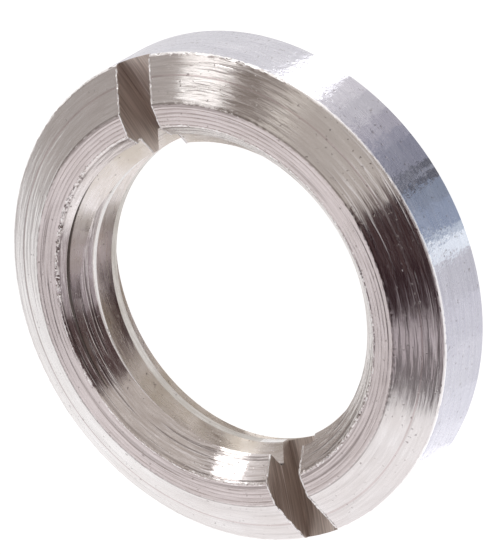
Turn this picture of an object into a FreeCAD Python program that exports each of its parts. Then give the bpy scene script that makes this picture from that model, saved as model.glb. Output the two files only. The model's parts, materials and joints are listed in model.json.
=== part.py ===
import FreeCAD, Part
import Sketcher
import os

# Slotted round nut, turned from one bar: an M10 x 1 threaded ring with a coned front and two spanner slots.
# Millimetres. Origin at the centre of the flat back face. +Z is the bore axis and points out of the slotted
# front face. +Y runs along the two slots, which lie on one diameter.

doc = FreeCAD.newDocument("slotted_ring_nut_model")

# ---------------------------------------------------------------- driving sizes

sizes = {
    "outside_dia": 14.2,         # outer band
    "thickness": 2.7,            # back face to front land
    "band_height": 2.0,          # height of the outer band, where the front cone starts
    "back_edge_break": 0.1,      # 45 degree edge break round the back of the band
    "front_land": 0.625,         # width of the flat ring between the front cone and the countersink
    "thread_dia": 10.0,          # thread major diameter
    "thread_pitch": 1.0,
    "front_sink_margin": 0.2,    # how far the front countersink opens past the thread root, radially
    "back_sink_margin": 0.1,     # the same at the back
    "slot_width": 1.2,           # thickness of the slitting saw
    "slot_saw_dia": 40.0,
    "slot_plunge": 2.13,         # depth of the saw below the front land, at the nut's axis
}

sheet = doc.addObject("Spreadsheet::Sheet", "sizes")
for row, (alias, number) in enumerate(sizes.items(), start=1):
    sheet.set(f"A{row}", alias)
    sheet.set(f"B{row}", str(number))
    sheet.setAlias(f"B{row}", alias)
doc.recompute()

# ---------------------------------------------------------------- sizes that follow from those
# Basic 60 degree metric profile: the thread is 5/8 of the full triangle deep, its crest flat is a quarter of
# the pitch and its root flat an eighth.

TRIANGLE = "sqrt(3) / 2 * sizes.thread_pitch"
THREAD_DEPTH = f"5 / 8 * {TRIANGLE}"
OUTER = "sizes.outside_dia / 2"
ROOT = "sizes.thread_dia / 2"
CREST = f"({ROOT} - {THREAD_DEPTH})"
FRONT_SINK = f"({ROOT} + sizes.front_sink_margin)"
BACK_SINK = f"({ROOT} + sizes.back_sink_margin)"

# The cutter for the thread reaches past the crest by an eighth of the pitch, so it clears the bore wall.
CUTTER_MOUTH = f"({CREST} - sizes.thread_pitch / 8)"
ROOT_HALF_FLAT = "sizes.thread_pitch / 16"
MOUTH_HALF_GAP = f"({ROOT_HALF_FLAT} + ({ROOT} - {CUTTER_MOUTH}) / sqrt(3))"


# ---------------------------------------------------------------- sketch helpers

def origin_plane(body, role):
    """The body's own origin plane with this role, such as XZ_Plane."""
    return next(feature for feature in body.Origin.OriginFeatures if feature.Role == role)


def new_sketch(body, name, plane_role):
    sketch = body.newObject("Sketcher::SketchObject", name)
    sketch.AttachmentSupport = [(origin_plane(body, plane_role), "")]
    sketch.MapMode = "FlatFace"
    return sketch


def drive(sketch, kind, corner, expression):
    """Set one coordinate of a line's start point, measured from the sketch origin, by an expression."""
    point = sketch.getPoint(corner, 1)
    rough = point.x if kind == "DistanceX" else point.y
    index = sketch.addConstraint(Sketcher.Constraint(kind, -1, 1, corner, 1, rough))
    sketch.setExpression(f"Constraints[{index}]", expression)


def closed_outline(body, name, plane_role, corners):
    """A closed outline of straight lines through corners, each a pair of expressions for its two coordinates.

    The corners start out spread round a rough circle, and their constraints then move each to its place.
    A second coordinate of None puts the corner on the sketch's horizontal axis.
    """
    sketch = new_sketch(body, name, plane_role)
    count = len(corners)
    middle = FreeCAD.Vector(10, 10, 0)
    rough = [middle + Part.Circle(FreeCAD.Vector(), FreeCAD.Vector(0, 0, 1), 5).value(6.28 * i / count)
             for i in range(count)]
    for i in range(count):
        sketch.addGeometry(Part.LineSegment(rough[i], rough[(i + 1) % count]), False)
    for i in range(count):
        sketch.addConstraint(Sketcher.Constraint("Coincident", i, 2, (i + 1) % count, 1))
    for i, (across, up) in enumerate(corners):
        drive(sketch, "DistanceX", i, across)
        if up is None:
            sketch.addConstraint(Sketcher.Constraint("PointOnObject", i, 1, -1))
        else:
            drive(sketch, "DistanceY", i, up)
    return sketch


# ---------------------------------------------------------------- the nut

def turn_blank(body):
    """The turned ring: outer band, front cone, front land, bore at the thread crest, both countersinks."""
    corners = [
        (BACK_SINK, None),
        (f"{OUTER} - sizes.back_edge_break", None),
        (OUTER, "sizes.back_edge_break"),
        (OUTER, "sizes.band_height"),
        (f"{FRONT_SINK} + sizes.front_land", "sizes.thickness"),
        (FRONT_SINK, "sizes.thickness"),
        (CREST, f"sizes.thickness - ({FRONT_SINK} - {CREST})"),
        (CREST, f"{BACK_SINK} - {CREST}"),
    ]
    profile = closed_outline(body, "ring_profile", "XZ_Plane", corners)
    ring = body.newObject("PartDesign::Revolution", "turned_ring")
    ring.Profile = profile
    ring.ReferenceAxis = (profile, ["V_Axis"])
    ring.Angle = 360
    return ring


def cut_thread(body):
    """The right-hand 60 degree groove. It starts one pitch below the back face and runs out past the front."""
    start = "-sizes.thread_pitch"
    section = closed_outline(body, "thread_groove_section", "XZ_Plane", [
        (CUTTER_MOUTH, f"{start} - {MOUTH_HALF_GAP}"),
        (ROOT, f"{start} - {ROOT_HALF_FLAT}"),
        (ROOT, f"{start} + {ROOT_HALF_FLAT}"),
        (CUTTER_MOUTH, f"{start} + {MOUTH_HALF_GAP}"),
    ])
    groove = body.newObject("PartDesign::SubtractiveHelix", "thread_groove")
    groove.Profile = section
    groove.ReferenceAxis = (section, ["V_Axis"])
    groove.Mode = "pitch-height-angle"
    groove.setExpression("Pitch", "sizes.thread_pitch")
    groove.setExpression("Height", "sizes.thickness + 2 * sizes.thread_pitch")
    return groove


def saw_slots(body):
    """Both spanner slots from one plunge of a slitting saw across the front, so their floors are one arc."""
    sketch = new_sketch(body, "saw_disc", "YZ_Plane")
    disc = sketch.addGeometry(Part.Circle(FreeCAD.Vector(0, 20, 0), FreeCAD.Vector(0, 0, 1), 20), False)
    sketch.addConstraint(Sketcher.Constraint("PointOnObject", disc, 3, -2))
    height = sketch.addConstraint(Sketcher.Constraint("DistanceY", -1, 1, disc, 3, 20))
    radius = sketch.addConstraint(Sketcher.Constraint("Radius", disc, 20))
    sketch.setExpression(f"Constraints[{height}]",
                         "sizes.thickness - sizes.slot_plunge + sizes.slot_saw_dia / 2")
    sketch.setExpression(f"Constraints[{radius}]", "sizes.slot_saw_dia / 2")
    slots = body.newObject("PartDesign::Pocket", "spanner_slots")
    slots.Profile = sketch
    slots.SideType = "Symmetric"
    slots.setExpression("Length", "sizes.slot_width")
    return slots


def build_nut():
    body = doc.addObject("PartDesign::Body", "nut_body")
    body.Label = "slotted_ring_nut"
    for make_feature in (turn_blank, cut_thread, saw_slots):
        feature = make_feature(body)
        doc.recompute()
        print(f"{feature.Name}: {feature.Shape.Volume:.3f} mm3")
    body.Tip = feature
    body.Placement = FreeCAD.Placement()
    return body


subparts = [build_nut()]
doc.recompute()

# ---------------------------------------------------------------- checks, then one STEP file for each node

faults = [thing.Name for thing in doc.Objects if {"Invalid", "Error"} & set(thing.State)]
for subpart in subparts:
    shape = subpart.Shape
    if shape.isNull() or not shape.isValid() or len(shape.Solids) != 1:
        faults.append(subpart.Label)
if faults:
    raise RuntimeError("not built: " + ", ".join(faults))

os.makedirs("parts", exist_ok=True)
for subpart in subparts:
    subpart.Shape.exportStep(f"parts/{subpart.Label}.step")
    print(subpart.Label, "written,", round(subpart.Shape.Volume, 3), "mm3,", subpart.Shape.BoundBox)
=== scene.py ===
import bpy
import bmesh
import json
import math
import random
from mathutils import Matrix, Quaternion, Vector


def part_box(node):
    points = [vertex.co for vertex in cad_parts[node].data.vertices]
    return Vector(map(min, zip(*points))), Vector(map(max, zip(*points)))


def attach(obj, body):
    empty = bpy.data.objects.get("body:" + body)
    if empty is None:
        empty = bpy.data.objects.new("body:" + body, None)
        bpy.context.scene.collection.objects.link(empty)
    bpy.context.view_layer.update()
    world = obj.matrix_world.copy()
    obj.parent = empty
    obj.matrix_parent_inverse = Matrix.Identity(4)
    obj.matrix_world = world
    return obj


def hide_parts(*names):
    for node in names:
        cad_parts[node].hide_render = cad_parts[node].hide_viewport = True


# A slotted round nut in one piece: a turned ring with a threaded bore and two sawn spanner slots.
# Lengths in the dictionaries are millimetres. The back face lies on z = 0, +Z is the bore's axis
# and +Y runs along the slots.

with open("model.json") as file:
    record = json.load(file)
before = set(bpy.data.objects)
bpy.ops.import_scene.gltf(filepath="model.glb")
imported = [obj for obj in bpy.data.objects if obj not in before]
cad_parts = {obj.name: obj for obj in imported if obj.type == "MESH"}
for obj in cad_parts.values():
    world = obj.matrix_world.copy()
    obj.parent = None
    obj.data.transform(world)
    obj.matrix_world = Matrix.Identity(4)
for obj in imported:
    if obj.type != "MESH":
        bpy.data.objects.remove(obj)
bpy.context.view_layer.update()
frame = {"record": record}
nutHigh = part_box("slotted_ring_nut")[1]
threadMount = next(mount for mount in frame["record"]["mounts"] if mount["name"] == "thread")

mm = 0.001
mergeWithin = 0.0004 * mm       # points nearer than this become one
exactWithin = 0.0001 * mm
samePlace = 0.01 * mm           # points nearer than this belong to the same corner
random.seed(7)


def selectNothing():
    if bpy.context.object and bpy.context.object.mode != "OBJECT":
        bpy.ops.object.mode_set(mode="OBJECT")
    bpy.ops.object.select_all(action="DESELECT")


def pickObject(piece):
    selectNothing()
    bpy.context.view_layer.objects.active = piece
    piece.select_set(True)


def editObject(piece):
    pickObject(piece)
    bpy.ops.object.mode_set(mode="EDIT")
    bpy.ops.mesh.select_mode(type="VERT")
    bpy.ops.mesh.select_all(action="SELECT")


def selectWhere(piece, kind, test):
    mesh = bmesh.from_edit_mesh(piece.data)
    bpy.ops.mesh.select_mode(type=kind)
    bpy.ops.mesh.select_all(action="DESELECT")
    items = {"VERT": mesh.verts, "EDGE": mesh.edges, "FACE": mesh.faces}[kind]
    chosen = [item for item in items if test(item)]
    for item in chosen:
        item.select_set(True)
    mesh.select_flush_mode()
    bmesh.update_edit_mesh(piece.data)
    return len(chosen)


def applyPlace(piece):
    pickObject(piece)
    bpy.ops.object.transform_apply(location=True, rotation=True, scale=True)


def applyModifier(piece, modifier):
    pickObject(piece)
    bpy.ops.object.modifier_apply(modifier=modifier.name)


def tidyMesh(piece):
    editObject(piece)
    bpy.ops.mesh.remove_doubles(threshold=mergeWithin)
    bpy.ops.mesh.normals_make_consistent(inside=False)
    bpy.ops.object.mode_set(mode="OBJECT")


def combine(piece, tool, operation):
    cut = piece.modifiers.new("cut", "BOOLEAN")
    cut.operation = operation
    cut.solver = "EXACT"
    cut.material_mode = "TRANSFER"      # faces that a tool leaves take the tool's material
    cut.object = tool
    applyModifier(piece, cut)
    bpy.data.objects.remove(tool)


# Finishes

def addNode(tree, kind, inputs=None, **settings):
    node = tree.nodes.new(kind)
    for name, value in settings.items():
        setattr(node, name, value)
    for name, value in (inputs or {}).items():
        if isinstance(value, bpy.types.NodeSocket):
            tree.links.new(value, node.inputs[name])
        else:
            node.inputs[name].default_value = value
    return node


def calculate(tree, operation, *values):
    return addNode(tree, "ShaderNodeMath", dict(enumerate(values)), operation=operation).outputs[0]


def spread(tree, value, low, high, fromLow=0.35, fromHigh=0.65, smooth=False):
    kind = "SMOOTHSTEP" if smooth else "LINEAR"
    inputs = {"Value": value, "From Min": fromLow, "From Max": fromHigh, "To Min": low, "To Max": high}
    return addNode(tree, "ShaderNodeMapRange", inputs, interpolation_type=kind).outputs[0]


def noiseAt(tree, vector, w=0.0, detail=2.0, scale=1.0):
    inputs = {"Vector": vector, "W": w, "Scale": scale, "Detail": detail, "Roughness": 0.6}
    return addNode(tree, "ShaderNodeTexNoise", inputs, noise_dimensions="4D").outputs[0]


def placeOf(tree):
    coords = addNode(tree, "ShaderNodeTexCoord")
    return coords.outputs["Object"]


def vectorMath(tree, operation, inputs, output=0):
    return addNode(tree, "ShaderNodeVectorMath", inputs, operation=operation).outputs[output]


def fromTheAxis(tree):
    # The way out from the bore's axis, and how far out.
    flat = vectorMath(tree, "MULTIPLY", {0: placeOf(tree), 1: (1, 1, 0)})
    return flat, vectorMath(tree, "LENGTH", {0: flat}, output=1)


def roundTheBore(tree, along, across):
    # A pattern whose marks run round the bore: 'along' counts them per radian, 'across' per metre.
    flat, radius = fromTheAxis(tree)
    outward = vectorMath(tree, "NORMALIZE", {0: flat})
    turned = vectorMath(tree, "SCALE", {0: outward, "Scale": along})
    reach = calculate(tree, "MULTIPLY", radius, across)
    radial = addNode(tree, "ShaderNodeCombineXYZ", {"Z": reach}).outputs[0]
    vector = vectorMath(tree, "ADD", {0: turned, 1: radial})
    height = addNode(tree, "ShaderNodeSeparateXYZ", {0: placeOf(tree)}).outputs[2]
    return vector, calculate(tree, "MULTIPLY", height, across)


def principled(material, look, colour, roughness, normal, tangent=None):
    tree = material.node_tree
    shader = tree.nodes["Principled BSDF"]
    shader.inputs["Metallic"].default_value = 1
    shader.inputs["Anisotropic"].default_value = look.get("anisotropic", 0)
    shader.inputs["Anisotropic Rotation"].default_value = look.get("turn", 0)
    tree.links.new(colour, shader.inputs["Base Color"])
    tree.links.new(roughness, shader.inputs["Roughness"])
    tree.links.new(normal, shader.inputs["Normal"])
    if tangent:
        tree.links.new(tangent, shader.inputs["Tangent"])


def mixColour(tree, factor, dark, light):
    inputs = {"Factor": factor, "A": dark, "B": light}
    return addNode(tree, "ShaderNodeMix", inputs, data_type="RGBA").outputs["Result"]


def bumpOf(tree, look, height):
    inputs = {"Strength": 1.0, "Distance": look["relief"] * mm, "Height": height}
    return addNode(tree, "ShaderNodeBump", inputs).outputs[0]


turnedMarks = {   # what all turned finishes share
    "ringEdge": 0.06,            # how gradually a scored ring and a pit begin
    "pitEdge": 0.08,
    "pitShade": 0.5,
    "fineShare": 0.6,            # how much the fine and the coarse rings count in the streaks of colour
    "coarseShare": 0.4,
    "streakFrom": 0.38,
    "streakTo": 0.62,
    "paintedShadeInner": 0.01,           # half width of a corner's painted shade line, full and faded out
    "paintedShadeOuter": 0.03,
    "paintedShadeLeast": 0.5,            # the painted shade line is this strong where the stains are weakest
    "roughFrom": 0.7,
    "roughTo": 1.3,
}


def turnedFinish(name, look):
    # Metal off the lathe: fine rings from the tool's feed, and reflections that smear across them.
    material = bpy.data.materials.new(name)
    material.use_nodes = True
    tree = material.node_tree
    fine = noiseAt(tree, *roundTheBore(tree, look["fineAlong"], look["fineAcross"]), detail=1.0)
    coarse = noiseAt(tree, *roundTheBore(tree, look["coarseAlong"], look["coarseAcross"]), detail=2.0)
    rings = noiseAt(tree, *roundTheBore(tree, look["ringAlong"], look["ringAcross"]), detail=1.0)
    stain = noiseAt(tree, placeOf(tree), scale=look["stainScale"], detail=4.0)
    pits = noiseAt(tree, placeOf(tree), scale=look["pitScale"], detail=1.0)
    grain = noiseAt(tree, placeOf(tree), scale=look["grainScale"], detail=2.0)
    scored = spread(tree, rings, 0, 1, look["ringFrom"], look["ringFrom"] + turnedMarks["ringEdge"])
    pitted = spread(tree, pits, 0, 1, look["pitFrom"], look["pitFrom"] + turnedMarks["pitEdge"])
    lines = calculate(tree, "ADD", calculate(tree, "MULTIPLY", fine, look["finePart"]),
                      calculate(tree, "MULTIPLY", coarse, look["coarsePart"]))
    hollows = calculate(tree, "ADD", calculate(tree, "MULTIPLY", scored, look["ringPart"]),
                        calculate(tree, "MULTIPLY", pitted, look["pitPart"]))
    peel = noiseAt(tree, placeOf(tree), scale=look["peelScale"], detail=2.0)
    waves = calculate(tree, "MULTIPLY", peel, look["peelPart"])
    height = calculate(tree, "SUBTRACT", calculate(tree, "ADD", lines, waves), hollows)
    bump = bumpOf(tree, look, height)
    streaks = calculate(tree, "ADD", calculate(tree, "MULTIPLY", fine, turnedMarks["fineShare"]),
                        calculate(tree, "MULTIPLY", coarse, turnedMarks["coarseShare"]))
    paler = spread(tree, streaks, 0, 1, turnedMarks["streakFrom"], turnedMarks["streakTo"])
    streaked = mixColour(tree, paler, look["dull"], look["bright"])
    grained = mixColour(tree, spread(tree, grain, look["grainPart"], 0), streaked, look["dull"])
    aged = mixColour(tree, spread(tree, stain, 0, look["stainPart"]), grained, look["stained"])
    lined = mixColour(tree, calculate(tree, "MULTIPLY", scored, look["ringShade"]), aged, look["pit"])
    colour = mixColour(tree, calculate(tree, "MULTIPLY", pitted, turnedMarks["pitShade"]), lined, look["pit"])
    # A painted shade line: near cornerRadius the colour is darkened towards the pit colour, broken up by the
    # stains.
    radius = fromTheAxis(tree)[1]
    away = calculate(tree, "ABSOLUTE", calculate(tree, "SUBTRACT", radius, look["cornerRadius"] * mm))
    near = spread(tree, away, look["cornerPaintedShade"], 0,
                  turnedMarks["paintedShadeInner"] * mm, turnedMarks["paintedShadeOuter"] * mm)
    broken = spread(tree, stain, turnedMarks["paintedShadeLeast"], 1)
    colour = mixColour(tree, calculate(tree, "MULTIPLY", near, broken), colour, look["pit"])
    # Painted shade in the thread's root: near the root radius the colour goes almost black.
    if "rootPaintedShade" in look:
        deep = spread(tree, radius, 0, look["rootPaintedShade"], look["rootFrom"] * mm, look["rootTo"] * mm)
        colour = mixColour(tree, deep, colour, look["root"])
    roughness = spread(tree, calculate(tree, "ADD", fine, stain), look["smooth"], look["rough"],
                       turnedMarks["roughFrom"], turnedMarks["roughTo"])
    tangent = addNode(tree, "ShaderNodeTangent", direction_type="RADIAL", axis="Z").outputs[0]
    principled(material, look, colour, roughness, bump, tangent)
    return material


def sawnFinish(name, look):
    # Metal off the slitting saw: long scratches that follow the disc round.
    material = bpy.data.materials.new(name)
    material.use_nodes = True
    tree = material.node_tree
    x, y, z = addNode(tree, "ShaderNodeSeparateXYZ", {0: placeOf(tree)}).outputs
    up = calculate(tree, "SUBTRACT", (slots["floorHeight"] + slots["sawRadius"]) * mm, z)
    reach = calculate(tree, "SQRT", calculate(tree, "ADD", calculate(tree, "MULTIPLY", y, y),
                                              calculate(tree, "MULTIPLY", up, up)))
    def marks(across, along, detail):
        vector = addNode(tree, "ShaderNodeCombineXYZ", {
            "X": calculate(tree, "MULTIPLY", x, across),
            "Y": calculate(tree, "MULTIPLY", reach, across),
            "Z": calculate(tree, "MULTIPLY", y, along)}).outputs[0]
        return noiseAt(tree, vector, detail=detail)
    fine = marks(look["fineAcross"], look["fineAlong"], 1.0)
    coarse = marks(look["coarseAcross"], look["coarseAlong"], 2.0)
    lines = calculate(tree, "ADD", calculate(tree, "MULTIPLY", fine, look["finePart"]),
                      calculate(tree, "MULTIPLY", coarse, look["coarsePart"]))
    bump = bumpOf(tree, look, lines)
    ground = mixColour(tree, spread(tree, fine, 0, 1), look["dull"], look["bright"])
    scratched = spread(tree, coarse, 0, 1, look["scratchFrom"], look["scratchTo"])
    colour = mixColour(tree, scratched, ground, look["scratch"])
    roughness = spread(tree, fine, look["smooth"], look["rough"])
    principled(material, look, colour, roughness, bump)
    return material


coneLook = {
    "bright": (0.84, 0.825, 0.825, 1),
    "dull": (0.71, 0.69, 0.685, 1),
    "stained": (0.68, 0.63, 0.61, 1),
    "pit": (0.22, 0.19, 0.18, 1),
    "stainScale": 700,
    "stainPart": 0.4,
    "pitScale": 9000,
    "pitFrom": 0.68,
    "pitPart": 0.4,
    "grainScale": 26000,
    "grainPart": 0.6,
    "fineAlong": 8,
    "fineAcross": 13000,
    "finePart": 1.0,
    "coarseAlong": 4,
    "coarseAcross": 4500,
    "coarsePart": 1.6,
    "ringAlong": 1.5,
    "ringAcross": 9000,
    "ringFrom": 0.6,
    "ringPart": 0.3,
    "ringShade": 0.1,
    "peelScale": 5000,
    "peelPart": 0.0,
    "relief": 0.0095,
    "smooth": 0.13,
    "rough": 0.21,
    "anisotropic": 0.9,
    "turn": 0.25,                # a quarter turn, so that reflections smear across the rings
    "cornerRadius": 5.86,        # painted shade line along the corner between cone and land
    "cornerPaintedShade": 0.7,
}

landLook = dict(coneLook, bright=(0.76, 0.7, 0.7, 1), dull=(0.6, 0.545, 0.54, 1),
                stained=(0.6, 0.54, 0.52, 1), relief=0.009, smooth=0.2, rough=0.29,
                ringFrom=0.54, ringPart=0.6, ringShade=0.42, ringAlong=0.8, ringAcross=8000)

# The countersink's cornerRadius line is a painted shadow just inside its ragged front edge.
sinkLook = dict(coneLook, bright=(0.93, 0.9, 0.9, 1), dull=(0.68, 0.64, 0.63, 1),
                stained=(0.66, 0.6, 0.56, 1), relief=0.011, smooth=0.16, rough=0.25,
                cornerRadius=5.14, cornerPaintedShade=0.6, ringFrom=0.58, ringPart=0.6, ringShade=0.6)

bandLook = dict(coneLook, bright=(0.76, 0.75, 0.79, 1), dull=(0.55, 0.54, 0.59, 1),
                stained=(0.6, 0.6, 0.64, 1), relief=0.009, coarsePart=0.45, finePart=0.3, grainPart=0.9,
                ringShade=0.05, ringPart=0.1, pitScale=8000, pitFrom=0.65, pitPart=0.6, peelPart=3.5,
                smooth=0.22, rough=0.34, anisotropic=0.88)

# Its root colour is painted shade for the deep thread root.
threadLook = dict(coneLook, bright=(0.95, 0.92, 0.92, 1), dull=(0.74, 0.7, 0.68, 1),
                  stained=(0.58, 0.52, 0.43, 1), stainPart=0.7, coarsePart=0.5, finePart=0.4,
                  anisotropic=0.7, smooth=0.2, rough=0.34,
                  root=(0.07, 0.055, 0.05, 1), rootPaintedShade=0.95, rootFrom=4.965, rootTo=4.99)

# The bore's cornerRadius line is painted shade along the crest edge.
boreLook = dict(coneLook, bright=(0.8, 0.775, 0.75, 1), dull=(0.56, 0.53, 0.5, 1),
                stained=(0.46, 0.42, 0.37, 1), stainPart=0.6, cornerRadius=4.48, cornerPaintedShade=0.5)

burrLook = dict(coneLook, bright=(0.97, 0.96, 0.96, 1), dull=(0.9, 0.88, 0.87, 1),
                stained=(0.8, 0.77, 0.75, 1), anisotropic=0.2, smooth=0.3, rough=0.5, ringShade=0.0)

slotLook = {
    "bright": (0.72, 0.64, 0.59, 1),
    "dull": (0.46, 0.4, 0.365, 1),
    "scratch": (1.0, 0.96, 0.95, 1),
    "scratchFrom": 0.62,
    "scratchTo": 0.7,
    "fineAcross": 22000,
    "fineAlong": 900,
    "finePart": 0.6,
    "coarseAcross": 8000,
    "coarseAlong": 120,
    "coarsePart": 1.6,
    "relief": 0.005,
    "smooth": 0.42,
    "rough": 0.58,
}

# The turned blank

ring = {
    "outerRadius": nutHigh.x / mm,
    "thickness": nutHigh.z / mm,
    "crestRadius": threadMount["dims"]["r_mm"],
    "bandHeight": 2.0,
    "landRadius": 5.825,         # outside of the flat front ring
    "frontSinkRadius": 5.2,
    "backSinkRadius": 5.1,
    "backBreak": 0.1,
    "edgeRound": 0.03,           # how far each turned corner is rounded over
    "edgeSteps": 3,
    "rimRound": 0.06,            # the same for the corner between cone and band
    "rimSteps": 4,
    "steps": 600,                # facets round the ring
    "smoothBelow": 20,           # edges flatter than this many degrees are shaded smooth
    "shortestFace": 0.25,        # shorter edges of the section are roundings, without feed lines
    "lowerHalf": 1.0,            # slanting and level faces under this height belong to the back
}

levelWithin = 1e-6              # metres

feedLines = {   # lines on each turned face, and how far they go into the metal
    "land": {"lines": 19, "depth": 0.003, "groove": 0.007},
    "cone": {"lines": 24, "depth": 0.005, "groove": 0.005},
    "frontSink": {"lines": 16, "depth": 0.003, "groove": 0.005},
    "band": {"lines": 5, "depth": 0.002, "groove": 0.002},
    "back": {"lines": 18, "depth": 0.004, "groove": 0.012},
    "backSink": {"lines": 7, "depth": 0.004, "groove": 0.008},
}

grooves = {"every": 4, "first": 2}      # which feed lines are cut deeper


def turnedFaceOf(edge):
    a, b = edge.verts[0].co, edge.verts[1].co
    if (a - b).length < ring["shortestFace"] * mm:
        return None
    radius, height = (a.x + b.x) / 2 / mm, (a.z + b.z) / 2 / mm
    if abs(a.x - b.x) < levelWithin:
        return "band" if radius > ring["landRadius"] else None
    if abs(a.z - b.z) < levelWithin:
        return "back" if height < ring["lowerHalf"] else "land"
    if height < ring["lowerHalf"]:
        return "backSink"
    return "cone" if radius > ring["landRadius"] else "frontSink"


def layFeedLines(blank):
    middle = Vector(((ring["crestRadius"] + ring["outerRadius"]) / 2, 0, ring["thickness"] / 2)) * mm
    for name, marks in feedLines.items():
        if not selectWhere(blank, "EDGE", lambda edge: turnedFaceOf(edge) == name):
            continue
        mesh = bmesh.from_edit_mesh(blank.data)
        edge = next(e for e in mesh.edges if e.select)
        start, end = edge.verts[0].co.copy(), edge.verts[1].co.copy()
        along = (end - start).normalized()
        inward = Vector((-along.z, 0, along.x))
        if inward.dot(middle - start) < 0:
            inward.negate()
        bpy.ops.mesh.subdivide(number_cuts=marks["lines"])
        for i in range(marks["lines"]):
            spot = start.lerp(end, (i + 1) / (marks["lines"] + 1))
            selectWhere(blank, "VERT", lambda vert: (vert.co - spot).length < exactWithin)
            groove = marks["groove"] if i % grooves["every"] == grooves["first"] else 0
            deep = random.random() * marks["depth"] + groove
            bpy.ops.transform.translate(value=inward * deep * mm)


def turnBlank(finish):
    inner, outer, top = ring["crestRadius"], ring["outerRadius"], ring["thickness"]
    selectNothing()
    bpy.ops.mesh.primitive_plane_add(size=1, location=((inner + outer) / 2 * mm, 0, top / 2 * mm),
                                     rotation=(math.pi / 2, 0, 0))
    blank = bpy.context.object
    blank.name = "nut"
    blank.scale = ((outer - inner) * mm, top * mm, 1)
    applyPlace(blank)
    blank.data.materials.append(finish)
    editObject(blank)
    trims = [   # a point on each slanting face, as radius and height, then the way it faces
        (ring["landRadius"], top, top - ring["bandHeight"], outer - ring["landRadius"]),
        (ring["frontSinkRadius"], top, -1, 1),
        (ring["backSinkRadius"], 0, -1, -1),
        (outer - ring["backBreak"], 0, 1, -1),
    ]
    for radius, height, outward, upward in trims:
        bpy.ops.mesh.select_all(action="SELECT")
        facing = Vector((outward, 0, upward)).normalized()
        bpy.ops.mesh.bisect(plane_co=(radius * mm, 0, height * mm), plane_no=facing,
                            threshold=exactWithin, clear_outer=True)
    rim = Vector((outer, 0, ring["bandHeight"])) * mm
    selectWhere(blank, "VERT", lambda vert: (vert.co - rim).length > samePlace)
    bpy.ops.mesh.bevel(affect="VERTICES", offset=ring["edgeRound"] * mm, segments=ring["edgeSteps"])
    selectWhere(blank, "VERT", lambda vert: (vert.co - rim).length < samePlace)
    bpy.ops.mesh.bevel(affect="VERTICES", offset=ring["rimRound"] * mm, segments=ring["rimSteps"])
    bpy.ops.mesh.select_all(action="SELECT")
    bpy.ops.mesh.delete(type="ONLY_FACE")
    layFeedLines(blank)
    bpy.ops.mesh.select_all(action="SELECT")
    bpy.ops.mesh.spin(steps=ring["steps"], angle=2 * math.pi, center=(0, 0, 0), axis=(0, 0, 1))
    bpy.ops.object.mode_set(mode="OBJECT")
    tidyMesh(blank)
    return blank


raggedEdges = [   # turned corners that the tool left ragged: where, over which angles, how much
    {"radius": 5.2, "height": 2.7, "from": 118, "to": 166, "size": 0.045, "seed": 3},
    {"radius": 5.2, "height": 2.7, "from": -82, "to": -36, "size": 0.035, "seed": 4},
    {"radius": 5.2, "height": 2.7, "from": -180, "to": 180, "size": 0.006, "seed": 8},
    {"radius": 5.825, "height": 2.7, "from": -180, "to": 180, "size": 0.009, "seed": 5},
    {"radius": 7.085, "height": 1.99, "from": -180, "to": 180, "size": 0.006, "seed": 6},
    {"radius": 7.085, "height": 1.99, "from": 48, "to": 120, "size": 0.02, "seed": 9},
]

raggedness = {
    "reach": 0.035,              # how far from the corner the metal is ragged
    "clear": 0.003,              # points this near the band stay, so that it keeps its diameter
    "evenness": 0.3,
}


def raggedCorners(blank):
    editObject(blank)
    for corner in raggedEdges:
        def onCorner(vert):
            radius, height = math.hypot(vert.co.x, vert.co.y) / mm, vert.co.z / mm
            angle = math.degrees(math.atan2(vert.co.y, vert.co.x))
            near = math.hypot(radius - corner["radius"], height - corner["height"]) < raggedness["reach"]
            inside = radius < ring["outerRadius"] - raggedness["clear"]
            return near and inside and corner["from"] < angle < corner["to"]
        selectWhere(blank, "VERT", onCorner)
        bpy.ops.transform.vertex_random(offset=corner["size"] * mm, uniform=raggedness["evenness"], normal=0,
                                        seed=corner["seed"])
    selectWhere(blank, "VERT", lambda vert: vert.co.z > ring["thickness"] * mm)
    bpy.ops.transform.resize(value=(1, 1, 0), center_override=(0, 0, ring["thickness"] * mm))
    bpy.ops.object.mode_set(mode="OBJECT")


# The thread

thread = {
    "rootRadius": 5.0,
    "pitch": 1.0,
    "rootFlat": 0.125,
    "reach": 0.125,              # how far the cutter stands in past the crest
    "start": -1.0,               # height over +X where the groove starts, one pitch under the back face
    "spareTurns": 2,
    "cornerRound": 0.03,
    "cornerSteps": 2,
    "steps": 360,
}


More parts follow.
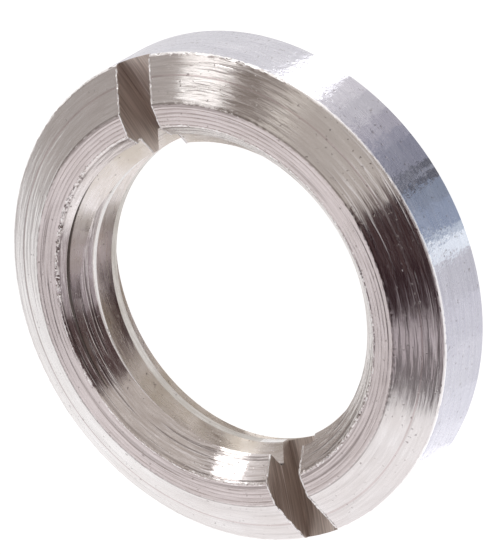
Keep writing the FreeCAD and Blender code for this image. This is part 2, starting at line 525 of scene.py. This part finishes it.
def threadCutter(finish):
    root, crest = thread["rootRadius"], ring["crestRadius"]
    mouth = crest - thread["reach"]
    rootHalf = thread["rootFlat"] / 2
    mouthHalf = rootHalf + (root - mouth) / math.sqrt(3)
    selectNothing()
    bpy.ops.mesh.primitive_plane_add(size=1, location=((root + mouth) / 2 * mm, 0, thread["start"] * mm),
                                     rotation=(math.pi / 2, 0, 0))
    cutter = bpy.context.object
    cutter.name = "threadCutter"
    cutter.scale = ((root - mouth) * mm, 2 * mouthHalf * mm, 1)
    applyPlace(cutter)
    cutter.data.materials.append(finish)
    editObject(cutter)
    selectWhere(cutter, "VERT", lambda vert: vert.co.x > crest * mm)
    bpy.ops.transform.resize(value=(1, 1, rootHalf / mouthHalf),
                             center_override=(root * mm, 0, thread["start"] * mm))
    bpy.ops.mesh.bevel(affect="VERTICES", offset=thread["cornerRound"] * mm, segments=thread["cornerSteps"])
    bpy.ops.mesh.select_all(action="SELECT")
    bpy.ops.mesh.delete(type="ONLY_FACE")
    coil = cutter.modifiers.new("coil", "SCREW")
    coil.axis = "Z"
    coil.angle = 2 * math.pi
    coil.screw_offset = thread["pitch"] * mm
    coil.iterations = math.ceil(ring["thickness"] / thread["pitch"]) + thread["spareTurns"]
    coil.steps = thread["steps"]
    coil.render_steps = thread["steps"]
    applyModifier(cutter, coil)
    editObject(cutter)
    bpy.ops.mesh.remove_doubles(threshold=mergeWithin)
    bpy.ops.mesh.select_all(action="DESELECT")
    bpy.ops.mesh.select_non_manifold()
    bpy.ops.mesh.edge_face_add()
    bpy.ops.mesh.select_all(action="SELECT")
    bpy.ops.mesh.normals_make_consistent(inside=False)
    bpy.ops.object.mode_set(mode="OBJECT")
    return cutter


# The spanner slots

slots = {
    "width": 1.2,
    "sawRadius": 20.0,
    "floorHeight": 0.57,         # lowest point of the saw, on the nut's axis
    "sawSteps": 1800,
    "ridges": 14,                # lines along the floor
    "ridgeHeight": 0.012,
    "burr": 0.021,               # half the thickness of the burr along the edges
    "burrSpacing": 0.03,
    "burrRaggedness": 0.02,
    "burrEvenness": 0.5,
    "burrSeed": 11,
    "burrAbove": 1.97,           # only edges above this height and inside this radius have a burr
    "burrWithin": 7.0,
}


def slittingSaw(finish):
    # The disc on edge over the nut, its rim a little uneven from strip to strip.
    height = slots["floorHeight"] + slots["sawRadius"]
    half = slots["width"] / 2
    strip = slots["width"] / slots["ridges"]
    selectNothing()
    bpy.ops.mesh.primitive_circle_add(vertices=slots["sawSteps"], radius=slots["sawRadius"] * mm,
                                      location=(-half * mm, 0, height * mm), rotation=(0, math.pi / 2, 0),
                                      fill_type="NGON")
    saw = bpy.context.object
    saw.name = "slittingSaw"
    applyPlace(saw)
    saw.data.materials.append(finish)
    editObject(saw)
    size = 1.0
    for i in range(slots["ridges"]):
        bpy.ops.mesh.extrude_region_move(TRANSFORM_OT_translate={"value": (strip * mm, 0, 0)})
        last = i == slots["ridges"] - 1
        wanted = 1.0 if last else 1 - random.random() * slots["ridgeHeight"] / slots["sawRadius"]
        centre = ((-half + strip * (i + 1)) * mm, 0, height * mm)
        bpy.ops.transform.resize(value=(1, wanted / size, wanted / size), center_override=centre)
        size = wanted
    bpy.ops.mesh.select_all(action="SELECT")
    bpy.ops.mesh.normals_make_consistent(inside=False)
    bpy.ops.object.mode_set(mode="OBJECT")
    return saw


def slotBurr(nut, finish):
    # The saw's burr: the slots' upper edges copied and drawn out as thin wire, to be joined on again.
    sawnNumber = nut.data.materials.find("sawnMetal")
    editObject(nut)
    def onSlotEdge(edge):
        if len(edge.link_faces) != 2:
            return False
        sawnSides = sum(face.material_index == sawnNumber for face in edge.link_faces)
        spot = (edge.verts[0].co + edge.verts[1].co) / 2
        inReach = spot.z > slots["burrAbove"] * mm and spot.xy.length < slots["burrWithin"] * mm
        return sawnSides == 1 and inReach
    selectWhere(nut, "EDGE", onSlotEdge)
    bpy.ops.mesh.duplicate()
    bpy.ops.mesh.separate(type="SELECTED")
    bpy.ops.object.mode_set(mode="OBJECT")
    wire = next(piece for piece in bpy.context.selected_objects if piece is not nut)
    wire.name = "burr"
    editObject(wire)
    bpy.ops.mesh.remove_doubles(threshold=slots["burrSpacing"] * mm)
    bpy.ops.object.mode_set(mode="OBJECT")
    pickObject(wire)
    bpy.ops.object.convert(target="CURVE")
    wire.data.bevel_depth = slots["burr"] * mm
    wire.data.bevel_resolution = 1
    wire.data.use_fill_caps = True
    bpy.ops.object.convert(target="MESH")
    wire.data.materials.clear()
    wire.data.materials.append(finish)
    tidyMesh(wire)
    return wire


def roughenBurr(nut):
    burrNumber = nut.data.materials.find("burrMetal")
    editObject(nut)
    def onBurr(vert):
        return vert.link_faces and all(face.material_index == burrNumber for face in vert.link_faces)
    selectWhere(nut, "VERT", onBurr)
    bpy.ops.transform.vertex_random(offset=slots["burrRaggedness"] * mm, uniform=slots["burrEvenness"],
                                    normal=0, seed=slots["burrSeed"])
    top = ring["thickness"] * mm
    selectWhere(nut, "VERT", lambda vert: vert.co.z > top)
    bpy.ops.transform.resize(value=(1, 1, 0), center_override=(0, 0, top))
    bpy.ops.object.mode_set(mode="OBJECT")


def makeNut(turned, threaded, sawn, ragged):
    nut = turnBlank(turned)
    raggedCorners(nut)
    print("blank turned:", len(nut.data.polygons), "faces")
    combine(nut, threadCutter(threaded), "DIFFERENCE")
    print("thread cut:", len(nut.data.polygons), "faces")
    combine(nut, slittingSaw(sawn), "DIFFERENCE")
    print("slots sawn:", len(nut.data.polygons), "faces")
    tidyMesh(nut)
    combine(nut, slotBurr(nut, ragged), "UNION")
    roughenBurr(nut)
    print("burr raised:", len(nut.data.polygons), "faces")
    pickObject(nut)
    bpy.ops.object.shade_smooth_by_angle(angle=math.radians(ring["smoothBelow"]))
    return nut


parts = {   # where each part of the ring ends, and how far up its faces point
    "bandMargin": 0.03,
    "bandLean": 0.5,
    "flatLean": 0.93,
    "landAbove": 2.6,
    "sinkMargin": 0.02,
    "sinkAbove": 1.9,
    "boreBelow": 1.2,
    "rimMargin": 0.06,
    "rimLeanFrom": 0.12,
    "rimLeanTo": 0.84,
    "tornReach": 0.05,
    "tornPart": 0.2,             # how much of the countersink's front edge is torn bright
}


def onBand(radius, height, normal):
    return radius > ring["outerRadius"] - parts["bandMargin"] and abs(normal.z) < parts["bandLean"]


def onFlat(radius, height, normal):
    onLand = height > parts["landAbove"] and radius < ring["landRadius"]
    return abs(normal.z) > parts["flatLean"] or onLand


def onSink(radius, height, normal):
    return radius < ring["frontSinkRadius"] + parts["sinkMargin"] and height > parts["sinkAbove"]


def onBoreWall(radius, height, normal):
    return radius < thread["rootRadius"] and height < parts["boreBelow"]


def onRim(radius, height, normal):
    outside = radius > ring["outerRadius"] - parts["rimMargin"]
    above = height > ring["bandHeight"] - parts["rimMargin"]
    return outside and above and parts["rimLeanFrom"] < normal.z < parts["rimLeanTo"]


def onTornEdge(radius, height, normal):
    near = math.hypot(radius - ring["frontSinkRadius"], height - ring["thickness"]) < parts["tornReach"]
    return near and random.random() < parts["tornPart"]


def finishPart(nut, finish, belongs):
    # Gives the turned faces of one part of the ring their own finish.
    if finish.name not in nut.data.materials:
        nut.data.materials.append(finish)
    editObject(nut)
    def chosen(face):
        centre = face.calc_center_median()
        return face.material_index == 0 and belongs(centre.xy.length / mm, centre.z / mm, face.normal)
    selectWhere(nut, "FACE", chosen)
    nut.active_material_index = nut.data.materials.find(finish.name)
    bpy.ops.object.material_slot_assign()
    bpy.ops.object.mode_set(mode="OBJECT")


cone = turnedFinish("coneMetal", coneLook)
land = turnedFinish("landMetal", landLook)
sink = turnedFinish("sinkMetal", sinkLook)
band = turnedFinish("bandMetal", bandLook)
threaded = turnedFinish("threadMetal", threadLook)
sawn = sawnFinish("sawnMetal", slotLook)
burr = turnedFinish("burrMetal", burrLook)
bore = turnedFinish("boreMetal", boreLook)

nut = makeNut(cone, threaded, sawn, burr)
finishPart(nut, burr, onRim)
finishPart(nut, burr, onTornEdge)
finishPart(nut, bore, onBoreWall)
finishPart(nut, sink, onSink)
finishPart(nut, land, onFlat)
finishPart(nut, band, onBand)
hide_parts("slotted_ring_nut")
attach(nut, "root")
print("nut finished:", len(nut.data.polygons), "faces")

# The studio

view = {
    "azimuth": 101.75,
    "elevation": 50.37,
    "roll": -120.87,
    "distance": 369.75,
    "aim": (0.48, 0.258, 1.35),
    "lens": 873.07,
    "nearest": 10,
    "farthest": 10000,
}


def makeCamera():
    camera = bpy.data.objects.new("camera", bpy.data.cameras.new("camera"))
    bpy.context.scene.collection.objects.link(camera)
    turn, lift = math.radians(view["azimuth"]), math.radians(view["elevation"])
    back = Vector((math.sin(turn) * math.cos(lift), -math.cos(turn) * math.cos(lift), math.sin(lift)))
    camera.location = (Vector(view["aim"]) + back * view["distance"]) * mm
    camera.rotation_mode = "QUATERNION"
    level = (-back).to_track_quat("-Z", "Y")
    camera.rotation_quaternion = level @ Quaternion((0, 0, 1), math.radians(view["roll"]))
    camera.data.lens = view["lens"]
    camera.data.clip_start = view["nearest"] * mm
    camera.data.clip_end = view["farthest"] * mm
    bpy.context.scene.camera = camera


studio = {
    "floorSize": 4000,
    "floorDrop": 0.05,           # how far under the nut the floor lies
    "floorRoughness": 0.8,
    "floorGlow": 0.92,
    "floorColour": (0.3, 0.3, 0.3, 1),
    "walls": (1.08, 1.05, 1.06, 1),
}

surroundings = [   # patches of the pale surround, in degrees: middle, half width, lowest, highest, soft edge
    {"azimuth": -168, "half": 10, "low": 0, "high": 40, "soft": 6, "colour": (1.3, 1.29, 1.31, 1)},
    {"azimuth": 175, "half": 14, "low": -20, "high": 50, "soft": 12, "colour": (0.68, 0.66, 0.67, 1)},
    {"azimuth": 64, "half": 72, "low": 20, "high": 82, "soft": 8, "colour": (0.55, 0.5, 0.465, 1)},
    {"azimuth": 147, "half": 24, "low": -15, "high": 80, "soft": 13, "colour": (0.47, 0.43, 0.41, 1)},
    {"azimuth": 101, "half": 8, "low": 22, "high": 70, "soft": 4, "colour": (0.19, 0.15, 0.13, 1)},
    {"azimuth": -50, "half": 39, "low": 46, "high": 95, "soft": 5, "colour": (0.36, 0.31, 0.33, 1)},
    {"azimuth": -90, "half": 40, "low": 56, "high": 95, "soft": 5, "colour": (0.2, 0.17, 0.18, 1)},
    {"azimuth": -38, "half": 34, "low": 20, "high": 60, "soft": 4, "colour": (0.38, 0.33, 0.35, 1)},
    {"azimuth": -27, "half": 39, "low": 53, "high": 95, "soft": 4, "colour": (0.03, 0.012, 0.015, 1)},
    {"azimuth": -85, "half": 65, "low": 67, "high": 95, "soft": 4, "colour": (0.03, 0.012, 0.015, 1)},
    {"azimuth": -2, "half": 24, "low": 14, "high": 68, "soft": 4, "colour": (0.085, 0.05, 0.05, 1)},
    {"azimuth": 87, "half": 6, "low": 53, "high": 65, "soft": 3, "colour": (1.0, 0.94, 0.87, 1)},
    {"azimuth": -63, "half": 8, "low": 36, "high": 64, "soft": 3, "colour": (0.62, 0.55, 0.58, 1)},
    {"azimuth": -79, "half": 7, "low": 38, "high": 63, "soft": 3, "colour": (0.14, 0.12, 0.125, 1)},
]


def makeFloor():
    selectNothing()
    bpy.ops.mesh.primitive_plane_add(size=studio["floorSize"] * mm)
    floor = bpy.context.object
    floor.name = "floor"
    floor.location.z = -studio["floorDrop"] * mm
    paint = bpy.data.materials.new("palePaper")
    paint.use_nodes = True
    shader = paint.node_tree.nodes["Principled BSDF"]
    shader.inputs["Base Color"].default_value = studio["floorColour"]
    shader.inputs["Roughness"].default_value = studio["floorRoughness"]
    shader.inputs["Emission Color"].default_value = (1, 1, 1, 1)
    shader.inputs["Emission Strength"].default_value = studio["floorGlow"]
    floor.data.materials.append(paint)


def makeSurround():
    world = bpy.data.worlds.new("studio")
    bpy.context.scene.world = world
    world.use_nodes = True
    tree = world.node_tree
    x, y, z = addNode(tree, "ShaderNodeSeparateXYZ",
                      {0: addNode(tree, "ShaderNodeTexCoord").outputs["Generated"]}).outputs
    azimuth = calculate(tree, "ARCTAN2", y, x)
    elevation = calculate(tree, "ARCSINE", z)
    colour = studio["walls"]
    for part in surroundings:
        soft = math.radians(part["soft"])
        middle, half = math.radians(part["azimuth"]), math.radians(part["half"])
        low, high = math.radians(part["low"]), math.radians(part["high"])
        away = calculate(tree, "SUBTRACT", azimuth, middle)
        away = calculate(tree, "ABSOLUTE", calculate(tree, "WRAP", away, -math.pi, math.pi))
        inside = spread(tree, away, 1, 0, half - soft, half + soft, smooth=True)
        above = spread(tree, elevation, 0, 1, low - soft, low + soft, smooth=True)
        below = spread(tree, elevation, 1, 0, high - soft, high + soft, smooth=True)
        cover = calculate(tree, "MULTIPLY", calculate(tree, "MULTIPLY", inside, above), below)
        colour = mixColour(tree, cover, colour, part["colour"])
    tree.links.new(colour, tree.nodes["Background"].inputs["Color"])


cards = [   # flat cards round the nut's foot that only its reflections see: angles at the nut, and glow
    {"from": -75, "to": -56, "glow": (1.9, 1.9, 1.95)},
    {"from": -56, "to": -48, "glow": (1.35, 1.35, 1.4)},
    {"from": -48, "to": -38, "glow": (1.2, 1.2, 1.25)},
    {"from": -38, "to": -26, "glow": (1.08, 1.08, 1.12)},
    {"from": -26, "to": -16, "glow": (0.97, 0.97, 1.02)},
    {"from": -16, "to": -6, "glow": (0.86, 0.86, 0.9)},
    {"from": -6, "to": -2, "glow": (1.3, 1.4, 1.45)},
    {"from": -2, "to": 0, "glow": (0.8, 0.9, 1.0)},
    {"from": 0, "to": 6, "glow": (0.42, 0.5, 0.64)},
    {"from": 6, "to": 11, "glow": (0.34, 0.4, 0.5)},
    {"from": 11, "to": 13, "glow": (0.14, 0.15, 0.18)},
    {"from": 13, "to": 14, "glow": (0.4, 0.42, 0.48)},
    {"from": 14, "to": 15.5, "glow": (0.16, 0.17, 0.2)},
    {"from": 15.5, "to": 22, "glow": (0.36, 0.37, 0.44)},
    {"from": 22, "to": 25, "glow": (0.45, 0.45, 0.52)},
    {"from": 25, "to": 30, "glow": (0.6, 0.58, 0.63)},
    {"from": 30, "to": 36, "glow": (0.8, 0.78, 0.8)},
    {"from": 36, "to": 41, "glow": (1.0, 0.97, 0.98)},
    {"from": 41, "to": 43, "glow": (2, 2, 2)},
    {"from": 43, "to": 50, "glow": (4.5, 4.5, 4.5)},
]

cardSize = {
    "near": 7.0,
    "far": 18.0,
    "fan": 0.5,                  # how much the cards spread towards their far ends
    "middle": 11.75,             # the angle that they spread from
    "height": -0.02,
    "strength": 5,
}


def makeCards():
    for number, card in enumerate(cards):
        selectNothing()
        bpy.ops.mesh.primitive_plane_add(size=1 * mm, location=(0, 0, cardSize["height"] * mm))
        piece = bpy.context.object
        piece.name = "card%02d" % number
        applyPlace(piece)
        editObject(piece)
        for outside, later in ((0, 0), (0, 1), (1, 0), (1, 1)):
            angle = card["to"] if later else card["from"]
            angle += outside * cardSize["fan"] * (angle - cardSize["middle"])
            radius = cardSize["far"] if outside else cardSize["near"]
            spot = Vector((math.cos(math.radians(angle)), math.sin(math.radians(angle)), 0)) * radius * mm
            start = Vector((outside - 0.5, later - 0.5, 0)) * mm
            selectWhere(piece, "VERT", lambda vert: (vert.co - start).xy.length < samePlace)
            bpy.ops.transform.translate(value=spot - start)
        bpy.ops.object.mode_set(mode="OBJECT")
        glow = bpy.data.materials.new(piece.name)
        glow.use_nodes = True
        shader = glow.node_tree.nodes["Principled BSDF"]
        shader.inputs["Base Color"].default_value = (0, 0, 0, 1)
        glowColour = [part / cardSize["strength"] for part in card["glow"]] + [1]
        shader.inputs["Emission Color"].default_value = glowColour
        shader.inputs["Emission Strength"].default_value = cardSize["strength"]
        piece.data.materials.append(glow)
        piece.visible_camera = False
        piece.visible_diffuse = False
        piece.visible_shadow = False


lamps = [
    {"name": "upperLamp", "azimuth": 117, "elevation": 45, "roll": -20, "distance": 700,
     "width": 170, "height": 130, "power": 0.085},
    {"name": "lowerLamp", "azimuth": 103, "elevation": 21, "roll": -20, "distance": 700,
     "width": 170, "height": 170, "power": 0.42},
]


def makeLamps():
    for lamp in lamps:
        light = bpy.data.objects.new(lamp["name"], bpy.data.lights.new(lamp["name"], "AREA"))
        bpy.context.scene.collection.objects.link(light)
        turn, lift = math.radians(lamp["azimuth"]), math.radians(lamp["elevation"])
        away = Vector((math.cos(turn) * math.cos(lift), math.sin(turn) * math.cos(lift), math.sin(lift)))
        light.location = away * lamp["distance"] * mm
        light.rotation_mode = "QUATERNION"
        level = (-away).to_track_quat("-Z", "Y")
        light.rotation_quaternion = level @ Quaternion((0, 0, 1), math.radians(lamp["roll"]))
        light.data.shape = "RECTANGLE"
        light.data.size = lamp["width"] * mm
        light.data.size_y = lamp["height"] * mm
        light.data.energy = lamp["power"]


makeCamera()
makeFloor()
makeSurround()
makeCards()
makeLamps()
bpy.context.scene.view_settings.view_transform = "Standard"
print("studio ready")
